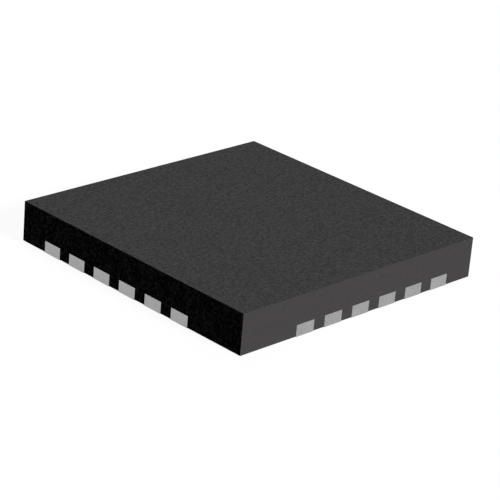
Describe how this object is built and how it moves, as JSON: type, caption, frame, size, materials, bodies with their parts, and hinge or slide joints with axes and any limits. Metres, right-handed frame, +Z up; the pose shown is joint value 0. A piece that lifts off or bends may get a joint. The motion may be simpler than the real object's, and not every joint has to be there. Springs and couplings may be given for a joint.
{
  "type": "integrated circuit",
  "caption": "Leadless integrated circuit: a flat square black moulded body with tinned lands flush with its sides and an exposed pad underneath, for soldering flat onto a circuit board.",
  "frame": {"origin": "under the middle of the body, on the plane of the lands' undersides, which rests on the circuit board", "axes": "+Z up through the body's top; +X and +Y square to the right and rear sides, so the picture's near corner is at -X -Y. Leads count from the rear end of the left side (-X), counter-clockwise from above"},
  "size_m": [0.0054, 0.0054, 0.0008],
  "materials": {
    "mould_compound": "matte",
    "tinned_copper": "satin",
    "silver_epoxy": "satin",
    "silicon": "polished",
    "gold_wire": "polished"
  },
  "bodies": {
    "root": {"mould_body": "mould_compound", "die_paddle": "tinned_copper", "lead_01": "tinned_copper", "lead_02": "tinned_copper", "lead_03": "tinned_copper", "lead_05": "tinned_copper", "lead_06": "tinned_copper", "lead_07": "tinned_copper", "lead_08": "tinned_copper", "lead_10": "tinned_copper", "lead_11": "tinned_copper", "lead_12": "tinned_copper", "lead_13": "tinned_copper", "lead_14": "tinned_copper", "lead_15": "tinned_copper", "lead_17": "tinned_copper", "lead_18": "tinned_copper", "lead_19": "tinned_copper", "lead_20": "tinned_copper", "lead_22": "tinned_copper", "lead_23": "tinned_copper", "lead_24": "tinned_copper", "die_attach": "silver_epoxy", "die": "silicon", "bond_wire_01": "gold_wire", "bond_wire_02": "gold_wire", "bond_wire_03": "gold_wire", "bond_wire_04": "gold_wire", "bond_wire_05": "gold_wire", "bond_wire_06": "gold_wire", "bond_wire_07": "gold_wire", "bond_wire_08": "gold_wire", "bond_wire_09": "gold_wire", "bond_wire_10": "gold_wire", "bond_wire_11": "gold_wire", "bond_wire_12": "gold_wire", "bond_wire_13": "gold_wire", "bond_wire_14": "gold_wire", "bond_wire_15": "gold_wire", "bond_wire_16": "gold_wire", "bond_wire_17": "gold_wire", "bond_wire_18": "gold_wire", "bond_wire_19": "gold_wire", "bond_wire_20": "gold_wire", "bond_wire_21": "gold_wire", "bond_wire_22": "gold_wire", "bond_wire_23": "gold_wire", "bond_wire_24": "gold_wire"}
  },
  "joints": []
}
